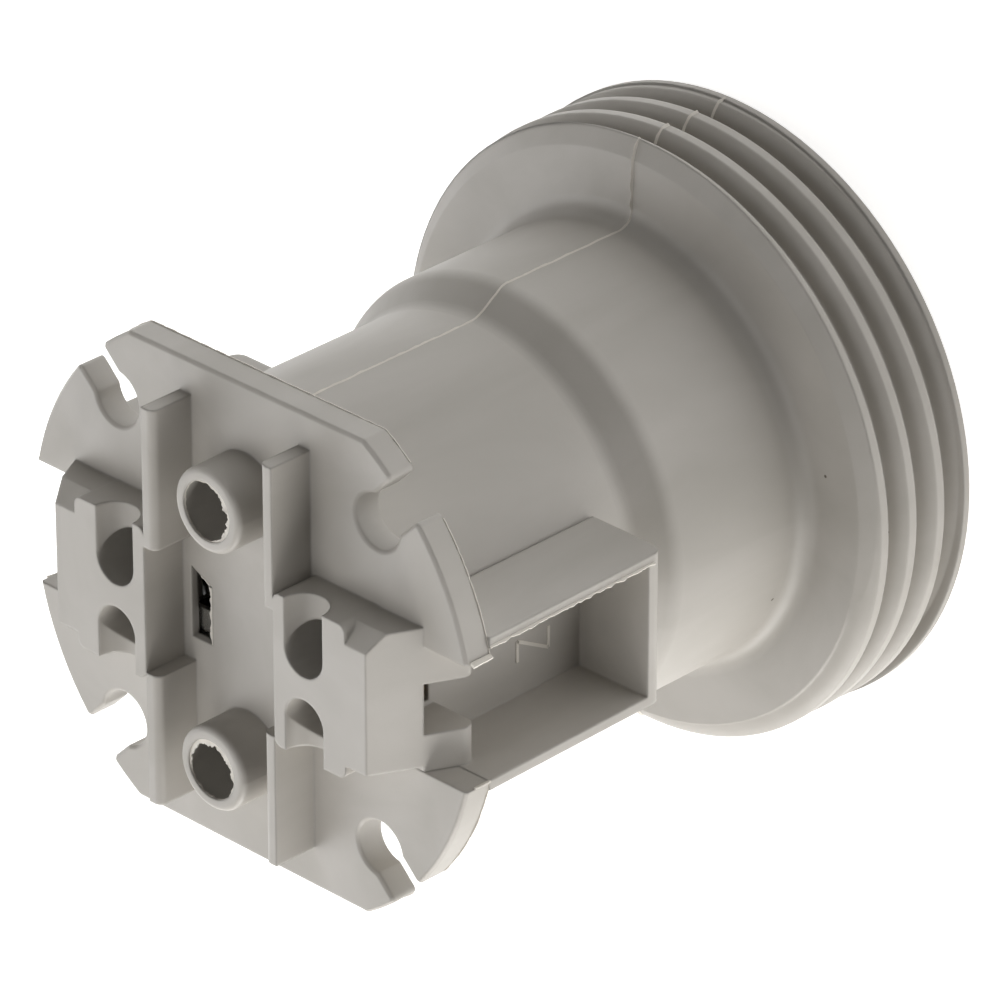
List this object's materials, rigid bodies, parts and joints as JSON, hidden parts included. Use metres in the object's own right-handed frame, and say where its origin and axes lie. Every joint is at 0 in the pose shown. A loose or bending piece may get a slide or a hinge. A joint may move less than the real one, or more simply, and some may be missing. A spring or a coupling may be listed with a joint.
{
  "type": "lamp holder",
  "caption": "Moulded screw lamp holder with slotted back plate, push-in wire entries, side pockets and an outer thread for a cover ring.",
  "frame": {"origin": "centre of the mouth rim, on the plane that the holder stands on", "axes": "+Z along the lamp axis from the mouth to the back plate, +X towards the neutral terminal, +Y towards the upper screw boss"},
  "size_m": [0.0746, 0.0744, 0.0813],
  "materials": {
    "housing_plastic": "moulded, satin",
    "carrier_plastic": "moulded, matt",
    "nickel_brass": "nickel plated, rolled",
    "brass_strip": "rolled strip",
    "spring_bronze": "rolled spring strip",
    "spring_steel": "rolled spring strip",
    "zinc_steel": "zinc plated"
  },
  "bodies": {
    "holder": {"housing": "housing_plastic", "contact_carrier": "carrier_plastic", "entry_ring": "housing_plastic", "screw_shell": "nickel_brass", "shell_rivet_1": "nickel_brass", "shell_rivet_2": "nickel_brass", "shell_rivet_3": "nickel_brass", "live_strap": "brass_strip", "neutral_strap": "brass_strip", "live_cage": "zinc_steel", "neutral_cage": "zinc_steel", "live_spring_pin": "zinc_steel", "neutral_spring_pin": "zinc_steel", "centre_contact_pin": "brass_strip", "carrier_screw_1": "zinc_steel", "carrier_screw_2": "zinc_steel", "screw_washer_1": "zinc_steel", "screw_washer_2": "zinc_steel"},
    "centre_contact": {"centre_contact": "spring_bronze"},
    "live_clamp_spring_upper": {"live_clamp_spring_upper": "spring_steel"},
    "live_clamp_spring_lower": {"live_clamp_spring_lower": "spring_steel"},
    "neutral_clamp_spring_upper": {"neutral_clamp_spring_upper": "spring_steel"},
    "neutral_clamp_spring_lower": {"neutral_clamp_spring_lower": "spring_steel"}
  },
  "joints": [
    {"name": "centre_contact_flex", "type": "hinge", "parent": "holder", "child": "centre_contact", "pos_m": [-0.006, 0, 0.0442], "axis": [0, -1, 0], "range_deg": [0, 15], "stiffness_Nm_per_rad": 0.1},
    {"name": "live_clamp_spring_upper_flex", "type": "hinge", "parent": "holder", "child": "live_clamp_spring_upper", "pos_m": [-0.01195, 0.0043, 0.0696], "axis": [0, -1, 0], "range_deg": [0, 26], "stiffness_Nm_per_rad": 0.1},
    {"name": "live_clamp_spring_lower_flex", "type": "hinge", "parent": "holder", "child": "live_clamp_spring_lower", "pos_m": [-0.01195, -0.0043, 0.0696], "axis": [0, -1, 0], "range_deg": [0, 26], "stiffness_Nm_per_rad": 0.1},
    {"name": "neutral_clamp_spring_upper_flex", "type": "hinge", "parent": "holder", "child": "neutral_clamp_spring_upper", "pos_m": [0.01195, 0.0043, 0.0696], "axis": [0, 1, 0], "range_deg": [0, 26], "stiffness_Nm_per_rad": 0.1},
    {"name": "neutral_clamp_spring_lower_flex", "type": "hinge", "parent": "holder", "child": "neutral_clamp_spring_lower", "pos_m": [0.01195, -0.0043, 0.0696], "axis": [0, 1, 0], "range_deg": [0, 26], "stiffness_Nm_per_rad": 0.1}
  ]
}
